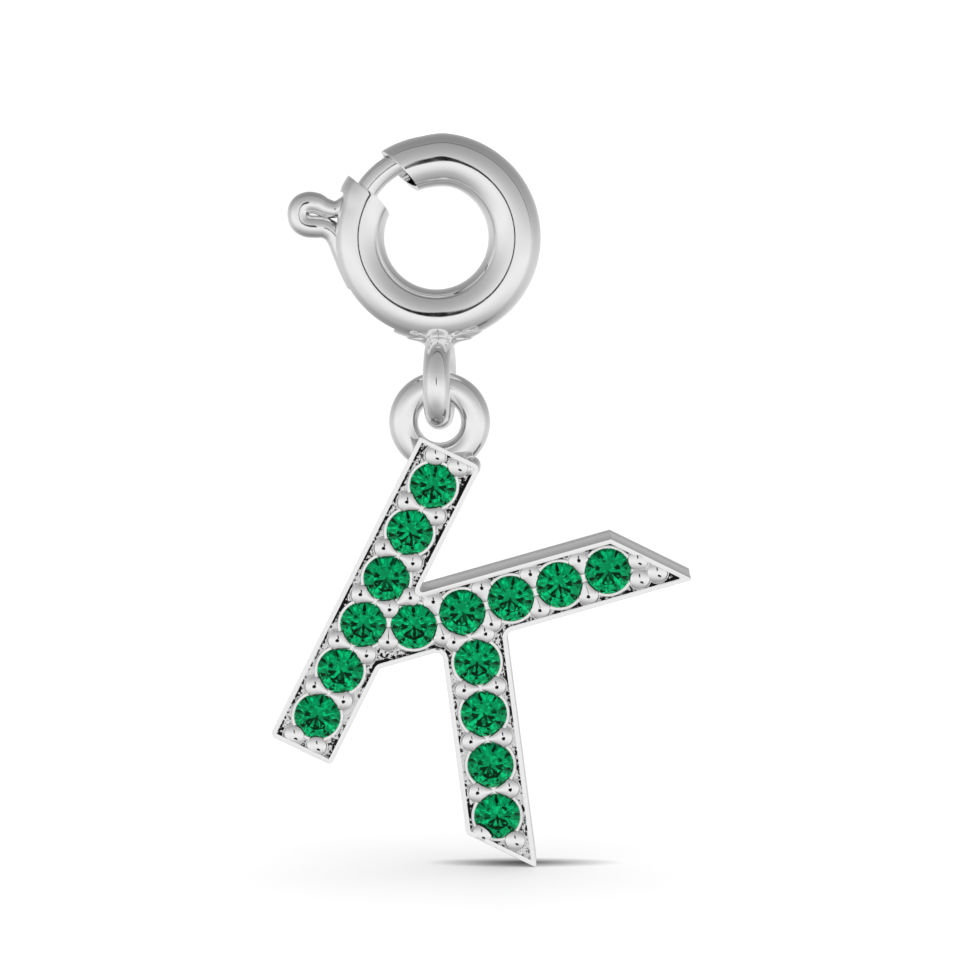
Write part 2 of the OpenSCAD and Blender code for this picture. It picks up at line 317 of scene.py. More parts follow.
class StoneSizes(bpy.types.PropertyGroup):
    """Sizes of the stones and of the metal that holds them, in millimetres."""

    across: millimetres("Stone", "Diameter of each stone", 1.4)
    stem_gap: millimetres("Stem gap", "Gap between the stem's stones", 0.11)
    arm_gap: millimetres("Arm gap", "Gap between the arm's stones", 0.055)
    leg_gap: millimetres("Leg gap", "Gap between the leg's stones", 0.13)
    arm_join: degrees("Arm join", "Direction of the arm's first stone", 24.5)
    leg_join: degrees("Leg join", "Direction of the leg's first stone", -47.4)
    seat_gap: millimetres("Seat gap", "Air between a stone and its seat", 0.02)
    bead: millimetres("Bead", "Diameter of a bead prong", 0.58)
    bridge: millimetres("Bridge", "Diameter of the specks of metal between neighbouring stones", 0.13)


class Finishes(bpy.types.PropertyGroup):
    """Colours, as sRGB hex values."""

    silver: hex_colour("Silver", "Colour of the rhodium-plated silver", "#F4F4F4")
    # The hollows' colour is painted shade, the black laid into the ground's pits
    hollow: hex_colour("Hollows", "Colour of the tarnish in the ground's hollows", "#1E1E1E")
    stone: hex_colour("Stone", "Colour of the green stones", "#00B46C")


def sizes():
    scene = bpy.context.scene
    return scene.clasp_sizes, scene.letter_sizes, scene.stone_sizes, scene.pendant_finishes


def ring_height():
    """The height of the ring's middle in millimetres. The frame's origin is inside its top."""
    c = sizes()[0]
    return c.tube - c.outside / 2


def clasp_place():
    """From the ring's own plane, x right, y up and z to the viewer, to metres in the frame."""
    return (
        Matrix.Scale(MM, 4)
        @ Matrix.Translation((0, 0, ring_height()))
        @ Matrix.Rotation(math.radians(90), 4, "X")
    )


def eye_middle():
    """The eye's middle in millimetres, sunk into the tube's wall by its solder."""
    c = sizes()[0]
    sink = c.wall + 0.07
    radius = (c.eye_hole + c.eye_wire) / 2
    low = ring_height() - c.outside / 2
    return Vector((c.eye_side, 0, low + sink - radius - c.eye_wire / 2)), radius


def letter_place():
    """From the letter's own plane, x across, y along the stem and z to the viewer, to metres."""
    c, k = sizes()[:2]
    middle, radius = eye_middle()
    bail = bail_middle()
    drop = (k.bail_hole - c.eye_wire) / 2 - k.slack
    return (
        Matrix.Scale(MM, 4)
        @ Matrix.Translation((middle.x, 0, middle.z - radius))
        @ Matrix.Rotation(math.radians(k.pitch), 4, "X")
        @ Matrix.Translation((0, k.thickness - k.bail_depth, -drop))
        @ Matrix.Rotation(math.radians(k.lean), 4, "Y")
        @ Matrix.Translation((-bail[0], 0, -bail[1]))
        @ Matrix.Rotation(math.radians(90), 4, "X")
    )


def stem_top():
    _, k, s, _ = sizes()
    return k.foot + 5 * (s.across + s.stem_gap) + k.head


def bail_middle():
    k = sizes()[1]
    return Vector((-k.bail_side, stem_top() + k.bail_rise))


def stone_rows():
    """The middles of the stem's, the arm's and the leg's stones in the letter's plane."""
    _, k, s, _ = sizes()
    stem = [Vector((0, k.foot + i * (s.across + s.stem_gap))) for i in range(5, -1, -1)]
    arm_pitch, leg_pitch = s.across + s.arm_gap, s.across + s.leg_gap
    first = stem[3] + arm_pitch * heading(s.arm_join)
    arm = [first + i * arm_pitch * heading(k.arm_angle) for i in range(5)]
    first = arm[1] + leg_pitch * heading(s.leg_join)
    leg = [first + i * leg_pitch * heading(k.leg_angle) for i in range(4)]
    return stem, arm, leg


def letter_corners(inset):
    """Corners of the letter, counted as on paper, with every edge moved in by an inset."""
    _, k, s, _ = sizes()
    stem, arm, leg = stone_rows()
    arm_d, leg_d = heading(k.arm_angle), heading(k.leg_angle)
    half, arm_half, leg_half = (stroke / 2 - inset for stroke in (k.stem_stroke, k.arm_stroke, k.leg_stroke))
    top = stem_top() - inset
    arm_hi, arm_lo = arm[0] + left_of(arm_d) * arm_half, arm[0] - left_of(arm_d) * arm_half
    leg_hi, leg_lo = leg[0] + left_of(leg_d) * leg_half, leg[0] - left_of(leg_d) * leg_half
    arm_cap = Vector((0, stem_top() - k.arm_short - inset))
    leg_cap = Vector((0, inset - k.leg_drop))
    flat, up, side = Vector((1, 0)), Vector((0, 1)), Vector((half, 0))
    return [
        Vector((-half, inset)),
        Vector((-half, top)),
        Vector((half, top)),
        meet(side, up, arm_hi, arm_d),
        meet(arm_hi, arm_d, arm_cap, flat),
        meet(arm_lo, arm_d, arm_cap, flat),
        meet(arm_lo, arm_d, leg_hi, leg_d),
        meet(leg_hi, leg_d, leg_cap, flat),
        meet(leg_lo, leg_d, leg_cap, flat),
        meet(leg_lo, leg_d, arm_lo, arm_d),
        meet(side, up, arm_lo, arm_d),
        Vector((half, inset)),
    ]


# How far each corner is rounded in millimetres, below zero where the corner is hollow
CORNER_ROUNDS = [0.15, 0.05, 0.2, -0.1, 0.05, 0.05, -0.2, 0.05, 0.15, -0.2, -0.1, 0.15]


# Materials


def shaded(name, values):
    """A material, its node tree and its one shader."""
    material = bpy.data.materials.new(name)
    material.use_nodes = True
    tree = material.node_tree
    tree.nodes.clear()
    shader = add_node(tree, "ShaderNodeBsdfPrincipled", values)
    add_node(tree, "ShaderNodeOutputMaterial", links={"Surface": shader.outputs["BSDF"]})
    return material, tree, shader


def silver_tree(name, colour, roughness):
    """A metal shader and the object's coordinates, from which each silver finish starts."""
    values = {"Base Color": linear(colour), "Metallic": 1.0, "Roughness": roughness}
    material, tree, shader = shaded(name, values)
    place = add_node(tree, "ShaderNodeTexCoord").outputs["Object"]
    return material, tree, shader, place


def polished_silver():
    """Sterling silver, rhodium plated over a hand polish: a bright neutral mirror whose
    faint waves, about half a millimetre apart, wander where the buff has run."""
    material, tree, shader, place = silver_tree("rhodium_plated_silver", sizes()[3].silver, 0.07)
    raised(tree, shader, noise(tree, place, 0.9, 2.0, 0.4), 0.25, 0.012)
    haze = noise(tree, place, 0.4, 4.0)
    tree.links.new(ranged(tree, haze, 0.35, 0.7, 0.05, 0.11), shader.inputs["Roughness"])
    return material


def drawn_wire():
    """Spring-hard silver wire, drawn through a die and plated: like the ring, with a
    slightly softer gloss where it is bent."""
    material, tree, shader, place = silver_tree("drawn_silver_wire", sizes()[3].silver, 0.1)
    raised(tree, shader, noise(tree, place, 0.3, 3.0), 0.3, 0.008)
    return material


def cast_ground(name, black):
    """Silver as cast, cut back by the graver between the stones and plated: facets about a
    tenth of a millimetre across, light but for painted shade, black laid into the pits. The
    painted shade grows towards the stem's top."""
    material, tree, shader, place = silver_tree(name, sizes()[3].silver, 0.2)
    pits, patches = noise(tree, place, 0.1, 3.0, 0.6), noise(tree, place, 1.1, 1.0)
    drop = add_node(tree, "ShaderNodeSeparateXYZ", links={"Vector": place}).outputs["Z"]
    # The painted shade grows towards the stem's top
    painted_shade_rise = ranged(tree, drop, -16 * MM, -6 * MM, black - 0.08, black + 0.04)
    height = maths(tree, "ADD", pits, maths(tree, "MULTIPLY", patches, 0.5))
    raised(tree, shader, pits, 1.0, 0.06)
    free_of_painted_shade = ranged(tree, maths(tree, "SUBTRACT", height, painted_shade_rise), 0.0, 0.05, 0.0, 1.0)
    finishes = sizes()[3]
    tree.links.new(blended(tree, free_of_painted_shade, finishes.hollow, finishes.silver), shader.inputs["Base Color"])
    return material


def filed_wall_painted_shade():
    """The casting's outer walls and worn edges, filed, tumbled and plated: the same silver as the
    face, but buffed less, so its gloss is softer. Its colour is painted greyer, as painted shade on the walls."""
    material, tree, shader, place = silver_tree("filed_silver_wall_painted_shade", "#CACACA", 0.16)
    raised(tree, shader, noise(tree, place, 0.35, 3.0), 0.3, 0.015)
    return material


def black_painted_shade_and_reflection():
    """The bored seats behind the stones, left as cast and unpolished, painted black as painted
    shade, which gives each stone its dark outline. The beads take it for a painted dark reflection."""
    material, tree, shader, place = silver_tree("black_painted_shade_and_reflection_silver", "#1C1C1B", 0.5)
    raised(tree, shader, noise(tree, place, 0.08, 2.0), 0.5, 0.02)
    return material


def green_stone():
    """Round brilliant of green cubic zirconia, sawn, faceted and polished on tin: a
    high index, so most light turns back inside and leaves through the crown."""
    values = {
        "Base Color": linear(sizes()[3].stone),
        "Roughness": 0.0,
        "IOR": 1.9,
        "Specular Tint": (0.05, 0.22, 0.1, 1.0),
        "Transmission Weight": 1.0,
    }
    return shaded("faceted_cubic_zirconia", values)[0]


# Pieces


class PENDANT_OT_clasp_tube(bpy.types.Operator):
    """Bends the tube into a ring, saws the gate and cuts the slot for the bolt"""

    bl_idname = "pendant.clasp_tube"
    bl_label = "Clasp tube"

    def execute(self, context):
        c = sizes()[0]
        tube_r, ring_r = c.tube / 2, (c.outside - c.tube) / 2
        around = 56
        slot_half = 5.5 * 360 / around
        start, end = c.gate + 4, c.gate + 356
        choose()
        bpy.ops.mesh.primitive_circle_add(
            vertices=around,
            radius=tube_r,
            location=polar(ring_r, start),
            rotation=(math.radians(90), 0, math.radians(start)),
        )
        tube = named("clasp_tube")
        apply_place()
        edit()
        select_all()
        for low, high, steps in ((start, c.slot_start, 10), (c.slot_start, c.slot_end, 48), (c.slot_end, end, 126)):
            bpy.ops.mesh.spin(steps=steps, angle=math.radians(high - low), center=(0, 0, 0), axis=(0, 0, 1))
        select_all()
        bpy.ops.mesh.remove_doubles(threshold=0.0005)
        bpy.ops.mesh.normals_make_consistent(inside=False)

        def bearing(face):
            at = face.calc_center_median()
            return math.degrees(math.atan2(at.y, at.x)) % 360

        def in_slot(face):
            at = face.calc_center_median()
            out = Vector((at.x, at.y)).length - ring_r
            lift = math.degrees(math.atan2(at.z, out))
            return c.slot_start < bearing(face) < c.slot_end and abs(lift) < slot_half

        skewed = Matrix.Rotation(math.radians(c.gate_skew), 3, "X") @ Vector((0, 1, 0))
        cut = Matrix.Rotation(math.radians(c.gate), 3, "Z") @ skewed
        for side, low, high in ((1, c.gate, c.gate + 50), (-1, c.gate - 50, c.gate)):
            pick("FACE", lambda face: low < bearing(face) < high)
            bpy.ops.mesh.bisect(
                plane_co=cut * side * c.gate_width / 2, plane_no=cut * side, clear_inner=True, threshold=0.0001
            )
        pick("FACE", in_slot)
        bpy.ops.mesh.delete(type="FACE")
        # The sawn lip is sprung outwards beside the bolt, and the tube's other end a little inwards
        for low, high, out, shift, size in ((138, 151, 0.5, 0.09, 0.55), (100, 125, -1, -0.07, 0.9)):
            pick(
                "VERT",
                lambda v: low < math.degrees(math.atan2(v.co.y, v.co.x)) < high
                and v.co.xy.length - ring_r > out * tube_r,
            )
            bpy.ops.transform.translate(
                value=polar(shift, (low + high) / 2),
                use_proportional_edit=True,
                proportional_edit_falloff="SMOOTH",
                proportional_size=size,
            )
        done()
        apply_modifier(tube, "SOLIDIFY", thickness=c.wall, offset=-1.0, use_even_offset=True)
        apply_modifier(tube, "BEVEL", width=0.03, segments=3, limit_method="ANGLE", angle_limit=math.radians(50))
        settle(tube, clasp_place(), "clasp", "clasp_ring", polished_silver())
        return {"FINISHED"}


class PENDANT_OT_clasp_eye(bpy.types.Operator):
    """Bends the eye and draws its solder up on to the tube"""

    bl_idname = "pendant.clasp_eye"
    bl_label = "Clasp eye"

    def execute(self, context):
        c = sizes()[0]
        middle, radius = eye_middle()
        low = ring_height() - c.outside / 2
        choose()
        bpy.ops.mesh.primitive_torus_add(
            major_segments=96,
            minor_segments=32,
            major_radius=radius,
            minor_radius=c.eye_wire / 2 + 0.006,
            location=middle,
            rotation=(0, math.radians(90), math.radians(c.eye_twist)),
        )
        eye = named("eye")
        # The pool of solder between the eye's shoulders and the tube
        bpy.ops.mesh.primitive_uv_sphere_add(
            segments=48, ring_count=24, radius=1, location=(c.eye_side, 0, low + 0.42), scale=(1.3, 0.6, 0.43)
        )
        pool = named("pool")
        # Wrinkles where it has set, each at a distance beside the eye and with a lean in degrees
        wrinkles = []
        for side, lean in ((-0.72, 16), (-0.45, 30), (0.5, -28), (0.8, -14), (1.0, -30)):
            bpy.ops.mesh.primitive_uv_sphere_add(
                segments=24,
                ring_count=16,
                radius=1,
                location=(c.eye_side + side, -0.46, low + 0.17 + 0.16 * side * side),
                rotation=(0, math.radians(lean), 0),
                scale=(0.17, 0.14, 0.06),
            )
            wrinkles.append(named("wrinkle"))
        # A neck that spreads towards the tube on both sides
        bpy.ops.mesh.primitive_cylinder_add(
            vertices=48, radius=c.eye_wire / 2, depth=0.2, location=(c.eye_side, 0, low - 0.3)
        )
        neck = named("neck")
        edit()
        pick("FACE", lambda face: face.normal.z > 0.9)
        for rise, spread in ((0.06, 1.05), (0.06, 1.12), (0.05, 1.2), (0.05, 1.28), (0.05, 1.35)):
            bpy.ops.mesh.extrude_region_move(TRANSFORM_OT_translate={"value": (0, 0, rise)})
            bpy.ops.transform.resize(value=(spread, 1.04, 1))
        done()
        solder = join([eye, pool, neck] + wrinkles, "clasp_eye")
        apply_place()
        apply_modifier(solder, "REMESH", mode="VOXEL", voxel_size=0.036)
        apply_modifier(solder, "SMOOTH", factor=0.5, iterations=10)
        # The solder stops inside the tube's wall, so that the bolt slides past it
        bpy.ops.mesh.primitive_torus_add(
            major_segments=128,
            minor_segments=48,
            major_radius=(c.outside - c.tube) / 2,
            minor_radius=(c.tube - c.wall) / 2,
            location=(0, 0, ring_height()),
            rotation=(math.radians(90), 0, 0),
        )
        hollow = named("hollow")
        apply_modifier(solder, "BOOLEAN", operation="DIFFERENCE", solver="EXACT", object=hollow)
        remove(hollow)
        settle(solder, Matrix.Scale(MM, 4), "clasp", "clasp_ring", polished_silver(), 180)
        return {"FINISHED"}


def bolt_stations():
    """The bolt wire's way in the ring's plane: place, heading and radius at each station."""
    c = sizes()[0]
    wire = c.bolt_wire / 2
    ring_r = (c.outside - c.tube) / 2
    air = 0.11
    bolt_r = ring_r + c.tube / 2 - c.wall - air - wire
    tip = c.gate - math.degrees(math.asin(c.gate_width / 2 / ring_r)) - 5
    neck = c.neck_wire / 2
    # Each knot's place and wire radius. Between them the wire bends evenly.
    knots = [(polar(bolt_r, tip + i * (150 - tip) / 6), wire) for i in range(7)]
    knots += [
        (Vector((-2.42, 0.99, 0)), wire * 0.97),
        (Vector((-2.86, 0.8, 0)), neck),
        (Vector((-3.17, 0.84, 0)), neck * 1.1),
        (Vector((-3.44, 0.965, 0)), wire * 0.94),
        (Vector((-3.69, 0.985, 0)), wire * 0.98),
        (Vector((-3.88, 0.885, 0)), wire),
        (Vector((-3.95, 0.69, 0)), wire),
        (Vector((-3.9, 0.45, 0)), wire),
        (Vector((-3.72, 0.325, 0)), wire),
        (Vector((-3.46, 0.3, 0)), wire * 0.99),
        (Vector((-3.2, 0.27, 0)), wire * 0.93),
        (Vector((-2.97, 0.13, 0)), wire * 0.92),
        (Vector((-2.82, -0.1, 0)), wire * 0.93),
        (Vector((-2.71, -0.36, 0)), wire * 0.95),
        (polar(2.65, 198), wire * 0.97),
        (polar(2.63, 203.5), wire * 0.98),
        (polar(2.63, 209.5), wire * 0.98),
    ]
    smooth = []
    for i in range(len(knots) - 1):
        before, after = knots[max(i - 1, 0)][0], knots[min(i + 2, len(knots) - 1)][0]
        (a, ra), (b, rb) = knots[i], knots[i + 1]
        for step in range(4):
            t = step / 4
            t2, t3 = t * t, t * t * t
            place = 0.5 * (
                2 * a
                + (b - before) * t
                + (2 * before - 5 * a + 4 * b - after) * t2
                + (3 * a - before - 3 * b + after) * t3
            )
            smooth.append((place, ra + (rb - ra) * (3 * t2 - 2 * t3)))
    smooth.append(knots[-1])
    made = []
    for i, (place, radius) in enumerate(smooth):
        way = smooth[min(i + 1, len(smooth) - 1)][0] - smooth[max(i - 1, 0)][0]
        made.append((place, math.degrees(math.atan2(way.y, way.x)), radius))
    # Rounded ends
    first, last = made[0], made[-1]
    for sink, share in ((0.55, 0.97), (0.8, 0.8), (0.97, 0.5)):
        shift = polar(first[2] * (1 - math.cos(sink * math.pi / 2)), first[1])
        made.insert(0, (first[0] - shift * 0.5, first[1], first[2] * share))
        shift = polar(last[2] * (1 - math.cos(sink * math.pi / 2)), last[1])
        made.append((last[0] + shift * 0.5, last[1], last[2] * share))
    return made


class PENDANT_OT_bolt(bpy.types.Operator):
    """Draws the bolt wire from station to station, through the pinched thumb loop"""

    bl_idname = "pendant.bolt"
    bl_label = "Bolt and thumb loop"

    def execute(self, context):
        stations = bolt_stations()
        place, aim, radius = stations[0]
        choose()
        bpy.ops.mesh.primitive_circle_add(
            vertices=28,
            radius=radius,
            fill_type="NGON",
            location=place,
            rotation=(math.radians(90), 0, math.radians(aim - 90)),
        )
        bolt = named("bolt_wire")
        apply_place()
        edit()
        select_all()
        for there, turn, size in stations[1:]:
            bpy.ops.mesh.extrude_region_move(TRANSFORM_OT_translate={"value": there - place, "orient_type": "GLOBAL"})
            swing = (turn - aim + 180) % 360 - 180
            if abs(swing) > 0.001:
                turned(swing, there)
            bpy.ops.transform.resize(value=(size / radius,) * 3, center_override=there)
            place, aim, radius = there, turn, size
        select_all()
        bpy.ops.mesh.normals_make_consistent(inside=False)
        done()
        settle(bolt, clasp_place(), "bolt", "clasp_bolt", drawn_wire(), 60)
        return {"FINISHED"}


def letter_prism(name, inset, rounds, low, high):
    """Draws the letter's outline, rounds each corner off and raises it to a solid."""
    corners = letter_corners(inset)
    count = len(corners)
    choose()
    bpy.ops.mesh.primitive_circle_add(vertices=count, radius=30, location=(0, 0, low))
    solid = named(name)
    apply_place()
    # The circle's vertices are taken to the corners one by one, clockwise from the foot
    loop = sorted(solid.data.vertices, key=lambda v: -math.atan2(v.co.y, v.co.x))
    for vertex, corner in zip(loop, corners):
        vertex.co = (corner[0], corner[1], low)
    edit()
    for i, radius in enumerate(rounds):
        before, after = corners[i - 1] - corners[i], corners[(i + 1) % count] - corners[i]
        half = before.angle(after) / 2
        place = Vector((corners[i][0], corners[i][1], low))
        pick("VERT", lambda v: (v.co - place).length < 0.0004)
        bpy.ops.mesh.bevel(offset=radius / math.tan(half), segments=6, affect="VERTICES", profile=0.5)
    select_all()
    bpy.ops.mesh.edge_face_add()
    bpy.ops.mesh.extrude_region_move(TRANSFORM_OT_translate={"value": (0, 0, high - low)})
    select_all()
    bpy.ops.mesh.normals_make_consistent(inside=False)
    done()
    return solid


class PENDANT_OT_letter(bpy.types.Operator):
    """Raises the letter from its outline, sinks the ground inside the rim and cuts the seats"""

    bl_idname = "pendant.letter"
    bl_label = "Letter casting"

    def execute(self, context):
        _, k, s, _ = sizes()
        t, low = k.thickness, k.thickness - k.ground
        letter = letter_prism("letter_casting", 0, [abs(r) for r in CORNER_ROUNDS], 0, t)
        # The stem's back sits a little to the right, so that its left wall is hidden by its face
        edit()
        pick("VERT", lambda v: v.co.z < 0.01 and abs(v.co.x) < k.stem_stroke / 2 + 0.02)
        bpy.ops.transform.translate(value=(0.11, 0, 0))
        done()
        inner_rounds = [k.rim - r if r < 0 else max(0.03, r - k.rim) for r in CORNER_ROUNDS]
        sunk = letter_prism("sunk", k.rim, inner_rounds, low, t + 0.4)

        # One seat cutter, a bore over a cone as deep as itself, copied to every stone
        reach, bore = s.across / 2 + s.seat_gap, 0.6
        bpy.ops.mesh.primitive_cylinder_add(vertices=64, radius=reach, depth=bore, location=(0, 0, low + 0.22))
        cutter = named("cutter")
        edit()
        pick("FACE", lambda f: f.normal.z < -0.9)
        bpy.ops.mesh.extrude_region_move(TRANSFORM_OT_translate={"value": (0, 0, -bore)})
        bpy.ops.transform.resize(value=(0.12, 0.12, 1))
        done()
        apply_place()
        spots = [p for row in stone_rows() for p in row]
        # One block takes the slope off the stem's top wall
        slope, block = math.radians(13), 0.8
        rise, back = block / 2 * math.cos(slope), block / 2 * math.sin(slope)
        bpy.ops.mesh.primitive_cube_add(
            size=1,
            location=(0, stem_top() - t / 2 * math.tan(slope) + rise, t / 2 - back),
            rotation=(-slope, 0, 0),
            scale=(k.stem_stroke + 0.4, block, t + 1.5),
        )
        sloped = named("sloped")
        tools = [sunk, sloped] + copies(cutter, [Matrix.Translation((p[0], p[1], 0)) for p in spots])
        for tool in tools:
            apply_modifier(letter, "BOOLEAN", operation="DIFFERENCE", solver="EXACT", object=tool)
        remove(*tools)

        choose(letter)
        edit()
        # The polish rounds the rim's outer edge broadly, its inner edge and the back's less
        worn = 0.09
        outline = letter_corners(0)
        edges = list(zip(outline, outline[1:] + outline[:1]))

        def beside(point):
            """How far a point lies from the letter's outline."""
            gaps = []
            for a, b in edges:
                share = max(0.0, min(1.0, (point - a).dot(b - a) / (b - a).length_squared))
                gaps.append((a + (b - a) * share - point).length)
            return min(gaps)

        for height, outer, offset, segments in ((t, True, 0.075, 5), (t, False, 0.03, 3), (0, True, 0.045, 3)):
            pick(
                "EDGE",
                lambda e: len(e.link_faces) == 2
                and all(abs(v.co.z - height) < 1e-4 for v in e.verts)
                and (beside((e.verts[0].co.xy + e.verts[1].co.xy) / 2) < worn) == outer
                and e.calc_face_angle(0) > 1.0,
            )
            bpy.ops.mesh.bevel(offset=offset, segments=segments, affect="EDGES", clamp_overlap=True)
        done()
        metals = [polished_silver(), cast_ground("graver_cut_silver_painted_shade", 0.72), black_painted_shade_and_reflection(), filed_wall_painted_shade()]
        # Slots 1 to 3 carry painted shade: black in the ground's pits, black in the seats and a greyer silver on the
        # walls
        ground, seat, wall = 1, 2, 3
        settle(letter, letter_place(), "letter", "letter_frame", metals, 20)
        flat = letter_place().inverted()
        for face in letter.data.polygons:
            middle = flat @ face.center
            facing = (flat.to_3x3() @ face.normal).normalized()
            edge = beside(middle.xy)
            if facing.z > 0.9 and abs(middle.z - low) < 0.02:
                face.material_index = ground
            # Painted shade: the walls and worn edges take the greyer silver
            elif (facing.z < 0.97 and edge < worn) or (facing.z < 0.85 and middle.z < low - 0.05 and edge < 0.16):
                face.material_index = wall
            # Painted shade: the bored seats take the black silver
            elif 0.1 < middle.z < low - 0.005 and min((middle.xy - p).length for p in spots) < reach + 0.01:
                face.material_index = seat

        # Painted shade along the rim's foot: a strip of ground whose pits are painted black more densely
        line = letter_prism("rim_foot_painted_shade_strip", k.rim - 0.01, inner_rounds, low - 0.03, low + 0.012)
        middle = letter_prism("middle", k.rim + 0.07, inner_rounds, low - 0.2, low + 0.2)
        apply_modifier(line, "BOOLEAN", operation="DIFFERENCE", solver="EXACT", object=middle)
        remove(middle)
        settle(line, letter_place(), "letter", "letter_frame", cast_ground("rim_foot_painted_shade", 0.82), 35)
        return {"FINISHED"}


def bead_places():
    """Where the graver has raised a bead, in the letter's plane, and the way in which it is pushed
    between two stones. A bead at a row's end is pushed nowhere and stays round."""
    _, k, s, _ = sizes()
    stem, arm, leg = stone_rows()
    r = s.across / 2
    spots = []

    def beside(a, b, off):
        way = left_of((b - a).normalized()) * off
        spots.append(((a + b) / 2 + way, -way))

    for row, off in ((stem, 0.64 * r), (arm, 0.74 * r), (leg, 0.64 * r)):
        for a, b in zip(row, row[1:]):
            beside(a, b, off)
            beside(a, b, -off)
    beside(stem[3], arm[0], -0.64 * r)
    beside(stem[2], arm[0], 0.43 * r)
    beside(arm[1], leg[0], 0.64 * r)
    beside(arm[1], leg[0], -0.64 * r)
    ends = [
        (stem[0], Vector((0, 1)), [(1.17, -0.56), (1.18, 0.48)]),
        (stem[5], Vector((0, -1)), [(1.15, -0.52), (1.15, 0.52)]),
        (arm[4], heading(k.arm_angle), [(1.31, 0.09), (1.17, -0.68), (1.94, -0.62)]),
        (leg[3], heading(k.leg_angle), [(0.68, -0.74), (1.13, 0.6)]),
    ]
    for stone, way, places in ends:
        for along, aside in places:
            spots.append((stone + r * (way * along + left_of(way) * aside), None))
    return spots


class PENDANT_OT_beads(bpy.types.Operator):
    """Raises the bead prongs and the specks of metal between neighbouring stones"""

    bl_idname = "pendant.beads"
    bl_label = "Bead prongs"

    def execute(self, context):
        _, k, s, _ = sizes()
        low = k.thickness - k.ground
        r = s.bead / 2
        flat = 0.4
        made = []
        for pushed in (False, True):
            choose()
            bpy.ops.mesh.primitive_uv_sphere_add(segments=48, ring_count=36, radius=1.06 * r, location=(0, 0, 0))
            bead = named("bead")
            bead.data.materials.append(polished_silver())
            bead.data.materials.append(black_painted_shade_and_reflection())
            edit()
            select_all()
            bpy.ops.mesh.bisect(plane_co=(0, 0, -0.05), plane_no=(0, 0, 1), clear_inner=True, threshold=0.0001)
            # A painted dark reflection: a black dash on each bead, in the seats' black
            x, y, wide, deep = (-0.1, 0.05, 0.19, 0.17) if pushed else (0.28, -0.14, 0.2, 0.1)

            def in_painted_reflection(face):
                way = face.normal
                return way.z > 0 and ((way.x - x) / wide) ** 2 + ((way.y - y) / deep) ** 2 < 1

            pick("FACE", in_painted_reflection)
            bead.active_material_index = 1
            bpy.ops.object.material_slot_assign()
            # The burnished ring that the beading tool leaves round its foot
            pick("EDGE", lambda e: e.is_boundary)
            for rise, spread in ((-0.012, 1.03), (0.016, 1.04), (0.004, 1.03), (-0.045, 1.03)):
                bpy.ops.mesh.extrude_edges_move(TRANSFORM_OT_translate={"value": (0, 0, rise)})
                bpy.ops.transform.resize(value=(spread, spread, 1), center_override=(0, 0, 0))
            select_all()
            bpy.ops.transform.resize(value=(1, 1, flat), center_override=(0, 0, 0))
            if pushed:
                # Drawn out to a blunt wedge between the stones
                for reach in (0.2, 0.5, 0.75):
                    pick("VERT", lambda v: v.co.x > reach * r)
                    bpy.ops.transform.resize(value=(1, 0.8, 0.94), center_override=(0, 0, 0))
                    bpy.ops.transform.translate(value=(0.14 * r, 0, 0))
            done()
            spots = [(p, way) for p, way in bead_places() if (way is not None) == pushed]
            made += copies(
                bead,
                [
                    Matrix.Translation((p[0], p[1], low + 0.05))
                    @ Matrix.Rotation(math.atan2(way[1], way[0]) if way else 0.0, 4, "Z")
                    for p, way in spots
                ],
            )
        bpy.ops.mesh.primitive_uv_sphere_add(segments=16, ring_count=10, radius=s.bridge / 2, location=(0, 0, 0))
        speck = named("speck")
        stem, arm, leg = stone_rows()
        pairs = [p for row in (stem, arm, leg) for p in zip(row, row[1:])] + [(stem[3], arm[0]), (arm[1], leg[0])]
        middles = [(a + b) / 2 for a, b in pairs]
        specks = copies(speck, [Matrix.Translation((p[0], p[1], low + 0.04)) for p in middles])
        # The bright-cut ring round each stone
        choose()
        bpy.ops.mesh.primitive_torus_add(
            major_segments=72,
            minor_segments=10,
            major_radius=s.across / 2 + 0.01,
            minor_radius=0.045,
            location=(0, 0, 0),
        )
        ring = named("cut_ring")
        rings = copies(ring, [Matrix.Translation((p[0], p[1], low + 0.03)) for row in (stem, arm, leg) for p in row])
        prongs = join(made + specks + rings, "bead_prongs")
        apply_place()
        # The walls are filed flush, so no bead stands out past them
        outline, inset, past = letter_corners(0), 0.03, 0.3
        for a, b in zip(outline, outline[1:] + outline[:1]):
            way, length = (b - a).normalized(), (b - a).length
            inward = -left_of(way)
            for v in prongs.data.vertices:
                depth = (v.co.xy - a).dot(inward)
                if -past < depth < inset and 0 < (v.co.xy - a).dot(way) < length:
                    v.co += (inward * (inset - depth)).to_3d()
        settle(prongs, letter_place(), "letter", "letter_frame", [], 50)
        return {"FINISHED"}


class PENDANT_OT_bail(bpy.types.Operator):
    """Bends the bail ring and solders it on behind the stem's top"""

    bl_idname = "pendant.bail"
    bl_label = "Bail ring"

    def execute(self, context):
        k = sizes()[1]
        at = bail_middle()
        choose()
        bpy.ops.mesh.primitive_torus_add(
            major_segments=120,
            minor_segments=40,
            major_radius=(k.bail_hole + k.bail_wire) / 2,
            minor_radius=k.bail_wire / 2,
            location=(at[0], at[1], k.thickness - k.bail_depth),
        )
        ring = named("bail_ring")
        # The solder that shows past the stem's corner
        bpy.ops.mesh.primitive_uv_sphere_add(
            segments=40,
            ring_count=24,
            radius=1,
            location=(0.74, stem_top() - 0.2, k.thickness - 0.42),
            scale=(0.29, 0.32, 0.36),
        )
        bail = join([ring, named("solder")], "bail_ring")
        settle(bail, letter_place(), "letter", "letter_frame", polished_silver(), 180)
        return {"FINISHED"}


class PENDANT_OT_stones(bpy.types.Operator):
    """Gives the stones their green"""

    bl_idname = "pendant.stones"
    bl_label = "Stones"

    def execute(self, context):
        green = green_stone()
        for name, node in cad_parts.items():
            if name.startswith("stone_"):
                for slot in node.material_slots:
                    slot.material = green
        return {"FINISHED"}


